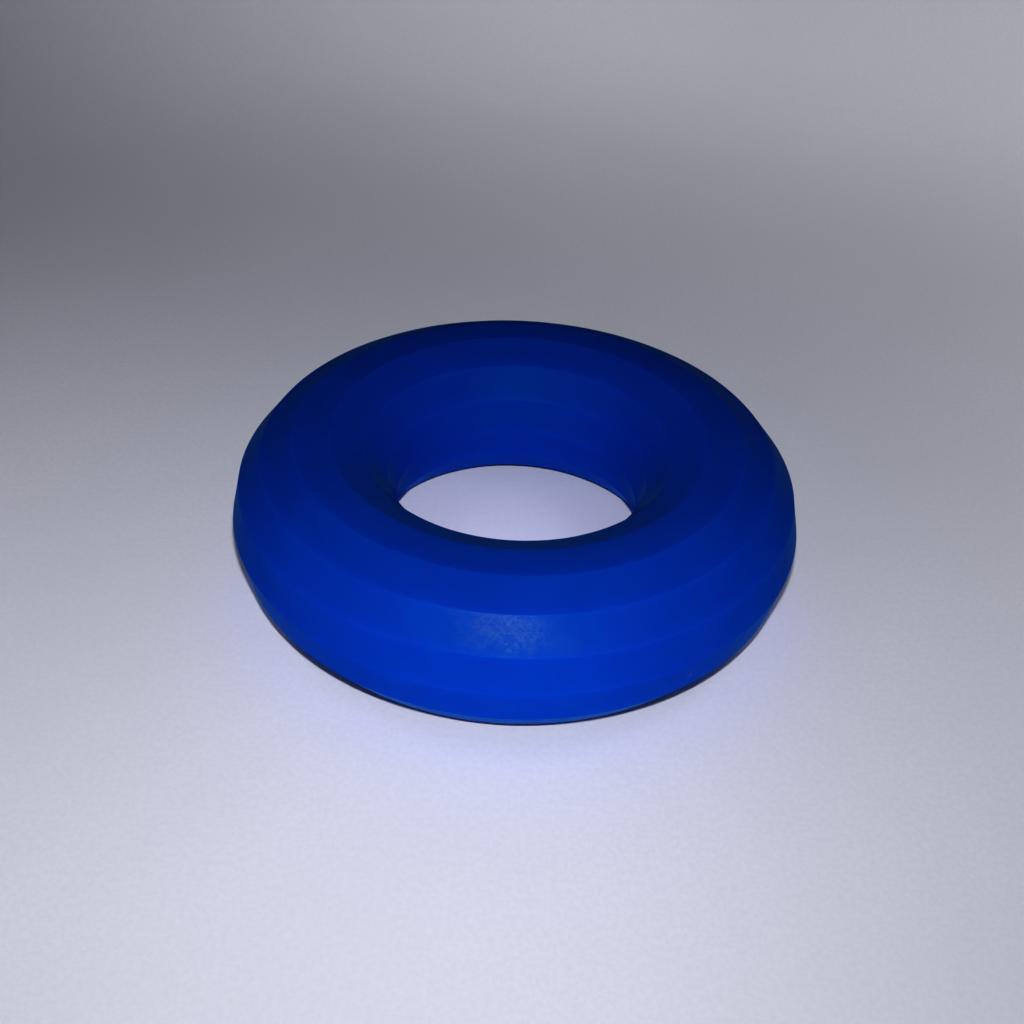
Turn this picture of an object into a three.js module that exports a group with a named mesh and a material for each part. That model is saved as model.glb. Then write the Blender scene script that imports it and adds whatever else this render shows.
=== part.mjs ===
// A grip ring that a watchmaker presses on a screwed case back and turns by hand.
// It is one solid moulding of blue silicone rubber, with nothing inside it and nothing
// fastened to it. The ring lies flat on its lower face. Millimetres, +Z up, and the
// origin is on the ring's axis, in the plane that it rests on.

import * as THREE from 'three';

// Driving dimensions
const outerDiameter = 70;   // across the edge that runs round the outside
const holeDiameter = 30;    // across the edge that runs round the inside of the hole
const height = 20;          // from the flat resting face to the flat gripping face
const bandCount = 14;       // flat bands round the section, with one level on top
const turnSteps = 120;      // steps round the axis, a multiple of 4

// Worked out from them
const sectionWidth = (outerDiameter - holeDiameter) / 2;
const sectionRadius = (outerDiameter + holeDiameter) / 4;   // from the axis to the section's middle
const bandAngle = 2 * Math.PI / bandCount;
const halfWidth = sectionWidth / 2;                         // from the middle out to an edge
const halfHeightToEdge = height / 2 / Math.cos(bandAngle / 2);   // puts the level bands at full height

const siliconeBlue = new THREE.MeshStandardMaterial({
  color: new THREE.Color(0.003, 0.05, 0.42),
  roughness: 0.62,
  metalness: 0.0,
});

// The section's outline: an edge faces straight outwards, the next ones follow at equal
// steps, and the first point is repeated at the end so that the outline closes.
function sectionOutline() {
  const points = [];
  for (let edge = 0; edge <= bandCount; edge++) {
    const angle = (edge % bandCount) * bandAngle;
    points.push(new THREE.Vector2(
      sectionRadius + halfWidth * Math.cos(angle),
      height / 2 + halfHeightToEdge * Math.sin(angle),
    ));
  }
  return points;
}

// The outline swept once round the axis, which is turned from Y up to Z up
function frictionRing() {
  const shape = new THREE.LatheGeometry(sectionOutline(), turnSteps);
  shape.rotateX(Math.PI / 2);
  const ring = new THREE.Mesh(shape, siliconeBlue);
  ring.name = 'friction_ring';
  return ring;
}

const group = new THREE.Group();
group.add(frictionRing());

export default group;
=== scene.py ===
"""The looks of a silicone rubber grip ring for opening screwed watch case backs.

The ring is one solid moulding with flat bands round its section. Its section's corners are
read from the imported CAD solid, softened where two bands meet, and swept round the axis as
one fine closed mesh. Lengths are in metres, and the ring rests on the plane z = 0.
"""

import math

import bpy
import numpy as np
from mathutils import Matrix, Vector

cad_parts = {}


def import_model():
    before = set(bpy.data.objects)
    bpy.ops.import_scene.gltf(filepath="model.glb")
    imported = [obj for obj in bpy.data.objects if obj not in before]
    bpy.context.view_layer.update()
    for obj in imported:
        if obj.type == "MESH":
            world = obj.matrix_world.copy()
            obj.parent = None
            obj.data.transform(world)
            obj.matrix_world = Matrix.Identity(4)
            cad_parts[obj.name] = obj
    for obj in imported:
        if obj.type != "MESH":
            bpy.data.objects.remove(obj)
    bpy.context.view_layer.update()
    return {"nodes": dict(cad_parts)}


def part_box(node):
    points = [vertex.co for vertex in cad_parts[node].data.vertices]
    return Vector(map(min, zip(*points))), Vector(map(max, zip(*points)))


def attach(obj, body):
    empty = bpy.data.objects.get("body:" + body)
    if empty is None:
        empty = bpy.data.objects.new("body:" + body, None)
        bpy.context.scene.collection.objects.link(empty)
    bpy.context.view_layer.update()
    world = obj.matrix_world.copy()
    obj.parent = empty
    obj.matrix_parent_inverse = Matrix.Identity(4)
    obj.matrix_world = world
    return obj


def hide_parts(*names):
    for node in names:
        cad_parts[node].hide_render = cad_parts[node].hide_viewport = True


MM = 0.001

# The ring's fine mesh
STEPS_ROUND = 600            # steps round the axis
STEPS_CORNER = 5             # steps round each softened corner
STEPS_BAND = 6               # steps across each flat band
CORNER_RADIUS = 0.45 * MM    # where two bands meet
WAVE_HEIGHT = 0.035 * MM     # how far the moulded bands wander from true
SEED = 7
SOAK_DEPTH = 7.0 * MM        # how far blue light spreads inside the rubber
FILM_SHIFT = (0.1126, 0.0291, -0.0012)    # moves the patches of bloom round the ring

# The camera
CAMERA_DISTANCE = 0.1661
CAMERA_ELEVATION = math.radians(36.44)
CAMERA_ROLL = math.radians(2.68)
CAMERA_AIM = Vector((-0.4, -3.0, 0.0)) * MM    # from the ring's centre
CAMERA_LENS = 46.4                             # millimetres, on a 36 mm sensor

# The lights. The key sits beside the lens and does nearly all the work. It is two lamps, one
# for the ring and one for the floor, so that each can be aimed. Two strips behind the ring
# light only its far side. The pools, the wall lamps and the blue glows light only the floor.
# Turns are in degrees round the ring's axis from +X, and the camera is at 270.
KEY_COLOUR = (1.0, 1.0, 1.03)
RING_KEY_DIAMETER = 14 * MM
RING_KEY_OFFSET = Vector((-2, -12, 0)) * MM    # from the lens, across and up the picture
RING_KEY_TARGET = Vector((0, -55, 0)) * MM     # from the ring's centre
RING_KEY_SPREAD = math.radians(118)
RING_KEY_WATTS = 0.074
FLOOR_KEY_DIAMETER = 5 * MM
FLOOR_KEY_OFFSET = Vector((1, 14, 0)) * MM
FLOOR_KEY_TARGET = Vector((-12, 6, 0)) * MM
FLOOR_KEY_SPREAD = math.radians(110)
FLOOR_KEY_WATTS = 0.069
STRIP_TURNS = (70, 110)
STRIP_DISTANCE, STRIP_DEPTH = 0.15, 0.06
STRIP_SIZE = (90 * MM, 30 * MM)
STRIP_WATTS = 0.06
SOFT_DIAMETER = 0.12                           # of the pool and wall lamps
SOFT_SPREAD = math.radians(80)
POOLS = (                                      # where each hangs, and its watts
    (Vector((0.0, 0.22, 0.25)), 0.040),
    (Vector((0.18, 0.16, 0.25)), 0.049),
    (Vector((-0.15, -0.05, 0.20)), 0.032),
    (Vector((0.15, -0.03, 0.20)), 0.034),
    (Vector((-0.15, 0.28, 0.25)), 0.012),
    (Vector((0.15, 0.30, 0.25)), 0.007),
)
WALL_LAMP_RADIUS, WALL_LAMP_HEIGHT = 0.12, 0.30
WALL_AIMS = (                                  # the radius and height aimed at, and the turns
    (0.40, 0.20, range(0, 360, 45)),
    (0.30, 0.03, range(210, 331, 40)),
)
WALL_WATTS = 0.035
HOLE_GLOW_PLACE = Vector((0, 0, 16)) * MM
HOLE_GLOW_DIAMETER = 12 * MM
HOLE_GLOW_COLOUR = (0.45, 0.42, 1.0)
HOLE_GLOW_WATTS = 0.00055
FOOT_GLOW_TURNS = range(200, 341, 20)
FOOT_GLOW_RADIUS, FOOT_GLOW_HEIGHT = 34 * MM, 3.5 * MM
FOOT_GLOW_SIZE = (12 * MM, 3 * MM)
FOOT_GLOW_COLOUR = (0.0, 0.06, 1.0)
FOOT_GLOW_WATTS = 0.00002
WEAK_COLOUR = (1.0, 0.99, 0.97)
WORLD_STRENGTH = 0.004

# The floor, a round sheet that curves up into a backdrop
FLOOR_FLAT_RADIUS = 0.155
FLOOR_CURVE_RADIUS = 0.25
FLOOR_WALL_TOP = 0.30
FLOOR_STEPS_ROUND, FLOOR_STEPS_FLAT, FLOOR_STEPS_CURVE = 128, 4, 24
PAPER_IN_GLOSS = (0.045, 0.045, 0.05, 1)       # dimmer there, so that the rubber stays matt


# ---------------------------------------------------------------- node helpers

class Nodes:
    """A material's node tree, with short calls to add a node and to link sockets."""

    def __init__(self, name):
        self.material = bpy.data.materials.new(name)
        self.material.use_nodes = True
        self.tree = self.material.node_tree
        self.shader = self.tree.nodes["Principled BSDF"]

    def fill(self, socket, value):
        """Give a socket a value, or link another node's output to it."""
        if isinstance(value, bpy.types.NodeSocket):
            self.tree.links.new(value, socket)
        else:
            socket.default_value = value

    def set(self, node, name, value):
        self.fill(node.inputs[name], value)

    def add(self, kind, **inputs):
        """A node with its input sockets filled."""
        node = self.tree.nodes.new(kind)
        for name, value in inputs.items():
            self.set(node, name, value)
        return node

    def noise(self, where, scale, detail, roughness):
        """Noise between 0 and 1, with about as many features to the metre as its scale."""
        node = self.add("ShaderNodeTexNoise", Vector=where, Scale=scale, Detail=detail,
                        Roughness=roughness)
        return node.outputs["Fac"]

    def remap(self, value, low, high, to_low=0.0, to_high=1.0):
        """Takes the range low to high smoothly to another, and holds its ends beyond that."""
        node = self.tree.nodes.new("ShaderNodeMapRange")
        node.interpolation_type = "SMOOTHSTEP"
        for name, v in (("Value", value), ("From Min", low), ("From Max", high),
                        ("To Min", to_low), ("To Max", to_high)):
            self.set(node, name, v)
        return node.outputs["Result"]

    def math(self, operation, a, b):
        node = self.tree.nodes.new("ShaderNodeMath")
        node.operation = operation
        self.fill(node.inputs[0], a)
        self.fill(node.inputs[1], b)
        return node.outputs["Value"]

    def mix(self, share, a, b):
        """Colour a where the share is 0, and colour b where it is 1."""
        node = self.tree.nodes.new("ShaderNodeMix")
        node.data_type = "RGBA"
        for index, value in ((0, share), (6, a), (7, b)):    # its colour sockets are 6 and 7
            self.fill(node.inputs[index], value)
        return node.outputs[2]

    def bump(self, height, strength, distance, normal=None):
        node = self.add("ShaderNodeBump", Height=height, Strength=strength, Distance=distance)
        if normal is not None:
            self.set(node, "Normal", normal)
        return node.outputs["Normal"]

    def place(self):
        """Where a point is on the object, in metres."""
        return self.tree.nodes.new("ShaderNodeTexCoord").outputs["Object"]

    def vector(self, operation, where, other=(0.0, 0.0, 0.0)):
        node = self.tree.nodes.new("ShaderNodeVectorMath")
        node.operation = operation
        self.fill(node.inputs[0], where)
        self.fill(node.inputs[1], other)
        return node.outputs["Value" if operation == "LENGTH" else "Vector"]


# ---------------------------------------------------------------- the ring

def section_corners(node):
    """The section's corners as (radius, height), in order round it, from the CAD solid."""
    points = {}
    for vertex in node.data.vertices:
        radius = math.hypot(vertex.co.x, vertex.co.y)
        points[(round(radius, 5), round(vertex.co.z, 5))] = (radius, vertex.co.z)
    corners = np.array(list(points.values()))
    middle = (corners.min(0) + corners.max(0)) / 2
    angle = np.arctan2(corners[:, 1] - middle[1], corners[:, 0] - middle[0])
    return corners[np.argsort(angle)]


def softened_outline(corners):
    """The outline with each corner rounded, as points (radius, height) in order round it."""
    points = []
    count = len(corners)
    for i in range(count):
        before, here, after = corners[i - 1], corners[i], corners[(i + 1) % count]
        to_before = (before - here) / np.linalg.norm(before - here)
        to_after = (after - here) / np.linalg.norm(after - here)
        half = math.acos(np.clip(to_before @ to_after, -1, 1)) / 2
        inward = (to_before + to_after) / np.linalg.norm(to_before + to_after)
        centre = here + inward * CORNER_RADIUS / math.sin(half)
        turn = math.pi - 2 * half
        outward = math.atan2(-inward[1], -inward[0])
        for step in range(STEPS_CORNER + 1):
            angle = outward + turn * (step / STEPS_CORNER - 0.5)
            points.append(centre + CORNER_RADIUS * np.array([math.cos(angle), math.sin(angle)]))
        next_back = (here - after) / np.linalg.norm(here - after)
        reach = CORNER_RADIUS / math.tan(half)
        start, end = here - next_back * reach, after + next_back * reach
        for step in range(1, STEPS_BAND):
            points.append(start + (end - start) * step / STEPS_BAND)
    return np.array(points)


def slow_wave(around, along, rng, terms=7):
    """A smooth wander round the ring and across its bands, between about -1 and 1."""
    total = np.zeros_like(around)
    for _ in range(terms):
        turns = rng.integers(2, 19)
        bands = rng.integers(1, 7)
        phase = rng.uniform(0, 2 * math.pi)
        total += np.sin(turns * around + bands * along + phase) / terms
    return total


def ring_mesh(corners):
    """The softened section swept round the axis. The bands wander a little from true, always
    inwards, so that the ring stays inside the CAD solid, and the foot stays flat."""
    outline = softened_outline(corners)
    count = len(outline)
    middle = (corners.min(0) + corners.max(0)) / 2
    along = np.arctan2(outline[:, 1] - middle[1], outline[:, 0] - middle[0])
    tangent = np.roll(outline, -1, 0) - np.roll(outline, 1, 0)
    outward = np.stack([tangent[:, 1], -tangent[:, 0]], 1)
    outward /= np.linalg.norm(outward, axis=1)[:, None]

    around = np.arange(STEPS_ROUND) * 2 * math.pi / STEPS_ROUND
    turn, place = np.meshgrid(around, along, indexing="ij")
    wave = slow_wave(turn, place, np.random.default_rng(SEED))
    inward = WAVE_HEIGHT * (wave - 1) / 2
    radius = outline[None, :, 0] + outward[None, :, 0] * inward
    height = outline[None, :, 1] + outward[None, :, 1] * inward
    rests = outline[None, :, 1] < 1e-6
    height = np.where(rests, 0.0, height)

    vertices = np.stack([radius * np.cos(turn), radius * np.sin(turn), height], -1)
    i, j = np.meshgrid(np.arange(STEPS_ROUND), np.arange(count), indexing="ij")
    i_next, j_next = (i + 1) % STEPS_ROUND, (j + 1) % count
    quads = np.stack([i * count + j, i_next * count + j, i_next * count + j_next,
                      i * count + j_next], -1)

    mesh = bpy.data.meshes.new("silicone_ring")
    mesh.from_pydata(vertices.reshape(-1, 3).tolist(), [], quads.reshape(-1, 4).tolist())
    mesh.polygons.foreach_set("use_smooth", [True] * len(mesh.polygons))
    mesh.update()
    return mesh


def silicone():
    """Matt moulded blue silicone that light soaks into: a faint cloudiness, a film of bloom
    that comes and goes on the outer half, where hands rub it, a fine grain and a few specks
    of dust."""
    n = Nodes("silicone_blue")
    where = n.place()
    cloud = n.remap(n.noise(where, 90.0, 4.0, 0.6), 0.3, 0.7)
    patch = n.remap(n.noise(n.vector("ADD", where, FILM_SHIFT), 130.0, 5.0, 0.62), 0.42, 0.60)
    from_axis = n.vector("LENGTH", n.vector("MULTIPLY", where, (1.0, 1.0, 0.0)))
    handled = n.remap(from_axis, 21 * MM, 27 * MM)
    mottle = n.noise(where, 2600.0, 3.0, 0.65)
    grain = n.noise(where, 3200.0, 3.0, 0.65)
    pits = n.noise(where, 900.0, 2.0, 0.5)

    deep = (0.0004, 0.050, 0.375, 1)
    light = (0.0006, 0.056, 0.405, 1)
    colour = n.mix(cloud, deep, light)
    speck = n.remap(n.noise(where, 520.0, 1.0, 0.2), 0.835, 0.86)
    colour = n.mix(n.math("MULTIPLY", speck, 0.5), colour, (0.10, 0.20, 0.50, 1))

    film = n.math("MULTIPLY", patch, n.remap(mottle, 0.32, 0.68, 0.45, 1.0))
    film = n.math("MULTIPLY", film, handled)
    n.set(n.shader, "Base Color", colour)
    n.set(n.shader, "Subsurface Weight", 1.0)
    n.set(n.shader, "Subsurface Radius", (0.1, 0.4, 1.0))
    n.set(n.shader, "Subsurface Scale", SOAK_DEPTH)
    n.set(n.shader, "Roughness", n.remap(film, 0.0, 1.0, 0.58, 0.45))
    n.set(n.shader, "Specular IOR Level", 0.14)
    n.set(n.shader, "Specular Tint", n.mix(film, (0.15, 1.0, 0.6, 1), (0.7, 1.0, 0.4, 1)))
    n.set(n.shader, "Sheen Weight", 0.04)
    n.set(n.shader, "Sheen Roughness", 0.35)
    n.set(n.shader, "Sheen Tint", (0.4, 1.0, 0.8, 1))
    fine = n.bump(grain, 0.30, 0.03 * MM)
    n.set(n.shader, "Normal", n.bump(pits, 0.20, 0.05 * MM, fine))
    return n.material


def friction_ring(node):
    """The ring as one piece, in place of the CAD solid."""
    ring = bpy.data.objects.new("silicone_ring", ring_mesh(section_corners(node)))
    bpy.context.scene.collection.objects.link(ring)
    ring.data.materials.append(silicone())
    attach(ring, "root")
    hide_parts("friction_ring")
    return ring


# ---------------------------------------------------------------- the stage

def paper():
    """Plain pale paper with a fibrous surface."""
    n = Nodes("floor_paper")
    where = n.place()
    tone = n.remap(n.noise(where, 14.0, 3.0, 0.5), 0.3, 0.7)
    fibre = n.noise(where, 1500.0, 4.0, 0.7)
    colour = n.mix(tone, (0.635, 0.645, 0.710, 1), (0.665, 0.675, 0.740, 1))
    colour = n.mix(n.remap(fibre, 0.35, 0.65, 0.0, 0.60), colour, (0.60, 0.61, 0.68, 1))
    in_gloss = n.tree.nodes.new("ShaderNodeLightPath").outputs["Is Glossy Ray"]
    colour = n.mix(in_gloss, colour, PAPER_IN_GLOSS)
    n.set(n.shader, "Base Color", colour)
    n.set(n.shader, "Roughness", 0.8)
    n.set(n.shader, "Specular IOR Level", 0.25)
    n.set(n.shader, "Normal", n.bump(fibre, 0.25, 0.05 * MM))
    return n.material


def floor():
    """A round sheet, flat under the ring and curving up all round into a backdrop."""
    profile = []
    for step in range(1, FLOOR_STEPS_FLAT + 1):
        profile.append((FLOOR_FLAT_RADIUS * step / FLOOR_STEPS_FLAT, 0.0))
    for step in range(1, FLOOR_STEPS_CURVE + 1):
        angle = math.pi / 2 * step / FLOOR_STEPS_CURVE
        profile.append((FLOOR_FLAT_RADIUS + FLOOR_CURVE_RADIUS * math.sin(angle),
                        FLOOR_CURVE_RADIUS * (1 - math.cos(angle))))
    profile.append((profile[-1][0], FLOOR_WALL_TOP))
    steps = FLOOR_STEPS_ROUND
    vertices = [(0.0, 0.0, 0.0)]
    for radius, height in profile:
        for k in range(steps):
            angle = 2 * math.pi * k / steps
            vertices.append((radius * math.cos(angle), radius * math.sin(angle), height))
    faces = [(0, 1 + k, 1 + (k + 1) % steps) for k in range(steps)]
    for row in range(len(profile) - 1):
        for k in range(steps):
            near, far = 1 + row * steps, 1 + (row + 1) * steps
            faces.append((near + k, far + k, far + (k + 1) % steps, near + (k + 1) % steps))
    mesh = bpy.data.meshes.new("floor")
    mesh.from_pydata(vertices, [], faces)
    mesh.polygons.foreach_set("use_smooth", [True] * len(mesh.polygons))
    sheet = bpy.data.objects.new("floor", mesh)
    bpy.context.scene.collection.objects.link(sheet)
    mesh.materials.append(paper())
    return sheet


def outwards(degrees):
    """A level unit vector away from the ring's axis, at a turn in degrees."""
    turn = math.radians(degrees)
    return Vector((math.cos(turn), math.sin(turn), 0.0))


def aimed(place, target, roll=0.0):
    """A matrix that puts an object at place with its -Z axis towards target."""
    look = (target - place).to_track_quat("-Z", "Y").to_matrix().to_4x4()
    return Matrix.Translation(place) @ look @ Matrix.Rotation(roll, 4, "Z")


def camera(centre):
    """The camera, in front of the ring on the -Y side and above it."""
    data = bpy.data.cameras.new("camera")
    data.lens = CAMERA_LENS
    data.sensor_width = 36.0
    data.clip_start, data.clip_end = 0.01, 10.0
    cam = bpy.data.objects.new("camera", data)
    bpy.context.scene.collection.objects.link(cam)
    direction = Vector((0.0, -math.cos(CAMERA_ELEVATION), math.sin(CAMERA_ELEVATION)))
    place = centre + direction * CAMERA_DISTANCE
    cam.matrix_world = aimed(place, centre + CAMERA_AIM, CAMERA_ROLL)
    bpy.context.scene.camera = cam
    return cam


def lamp(name, place, target, size, watts, colour, only, spread=math.pi, glossy=True,
         through_floor=False):
    """A flat lamp that lights only one object and that the camera doesn't see: a disc, or a
    strip if size is a pair. If it isn't glossy, no surface mirrors it. If it shines through
    the floor, only the lit object blocks it."""
    data = bpy.data.lights.new(name, "AREA")
    if isinstance(size, tuple):
        data.shape = "RECTANGLE"
        data.size, data.size_y = size
    else:
        data.shape = "DISK"
        data.size = size
    data.energy = watts
    data.color = colour
    data.spread = spread
    lamp_object = bpy.data.objects.new(name, data)
    bpy.context.scene.collection.objects.link(lamp_object)
    lamp_object.matrix_world = aimed(place, target)
    lamp_object.visible_camera = False
    lamp_object.visible_glossy = glossy
    lit = bpy.data.collections.new(f"{name}_lights")
    lit.objects.link(only)
    lamp_object.light_linking.receiver_collection = lit
    if through_floor:
        lamp_object.light_linking.blocker_collection = lit


def strips(centre, ring):
    """Lamps behind the ring and below the floor, which doesn't block them. They light the
    ring's far side from below, as light off a bright floor would."""
    for number, degrees in enumerate(STRIP_TURNS):
        below = Vector((0.0, 0.0, -STRIP_DEPTH))
        place = centre + outwards(degrees) * STRIP_DISTANCE + below
        lamp(f"strip_{number}", place, centre, STRIP_SIZE, STRIP_WATTS, WEAK_COLOUR, ring,
             glossy=False, through_floor=True)


def floor_lamps(sheet):
    """Lamps for the floor alone: pools of light beside and behind the ring, an even wash all
    round the backdrop, and faint glows for the blue light that leaks out of the rubber."""
    up = Vector((0.0, 0.0, 1.0))
    for number, (place, watts) in enumerate(POOLS):
        below = Vector((place.x, place.y, 0.0))
        lamp(f"pool_{number}", place, below, SOFT_DIAMETER, watts, WEAK_COLOUR, sheet,
             SOFT_SPREAD)
    for radius, height, turns in WALL_AIMS:
        for degrees in turns:
            place = outwards(degrees) * WALL_LAMP_RADIUS + up * WALL_LAMP_HEIGHT
            target = outwards(degrees) * radius + up * height
            lamp(f"wall_{degrees}", place, target, SOFT_DIAMETER, WALL_WATTS, WEAK_COLOUR,
                 sheet, SOFT_SPREAD)
    lamp("hole_glow", HOLE_GLOW_PLACE, Vector((0.0, 0.0, 0.0)), HOLE_GLOW_DIAMETER,
         HOLE_GLOW_WATTS, HOLE_GLOW_COLOUR, sheet)
    for number, degrees in enumerate(FOOT_GLOW_TURNS):
        foot = outwards(degrees) * FOOT_GLOW_RADIUS
        place = foot + up * FOOT_GLOW_HEIGHT
        target = foot + outwards(degrees) * FOOT_GLOW_HEIGHT
        lamp(f"foot_glow_{number}", place, target, FOOT_GLOW_SIZE, FOOT_GLOW_WATTS,
             FOOT_GLOW_COLOUR, sheet)


def world():
    """Very weak even light from all round."""
    surroundings = bpy.data.worlds.new("surroundings")
    surroundings.use_nodes = True
    background = surroundings.node_tree.nodes["Background"]
    background.inputs["Color"].default_value = (*WEAK_COLOUR, 1)
    background.inputs["Strength"].default_value = WORLD_STRENGTH
    bpy.context.scene.world = surroundings


# ---------------------------------------------------------------- the scene

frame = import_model()
low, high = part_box("friction_ring")
ring_centre = (low + high) / 2

ring = friction_ring(frame["nodes"]["friction_ring"])
sheet = floor()
view_camera = camera(ring_centre)
view_turn = view_camera.matrix_world.to_3x3()
lens_place = view_camera.matrix_world.translation
lamp("ring_key", lens_place + view_turn @ RING_KEY_OFFSET, ring_centre + RING_KEY_TARGET,
     RING_KEY_DIAMETER, RING_KEY_WATTS, KEY_COLOUR, ring, RING_KEY_SPREAD)
lamp("floor_key", lens_place + view_turn @ FLOOR_KEY_OFFSET, ring_centre + FLOOR_KEY_TARGET,
     FLOOR_KEY_DIAMETER, FLOOR_KEY_WATTS, KEY_COLOUR, sheet, FLOOR_KEY_SPREAD)
strips(ring_centre, ring)
floor_lamps(sheet)
world()
bpy.context.scene.view_settings.view_transform = "Standard"
bpy.context.scene.view_settings.look = "High Contrast"
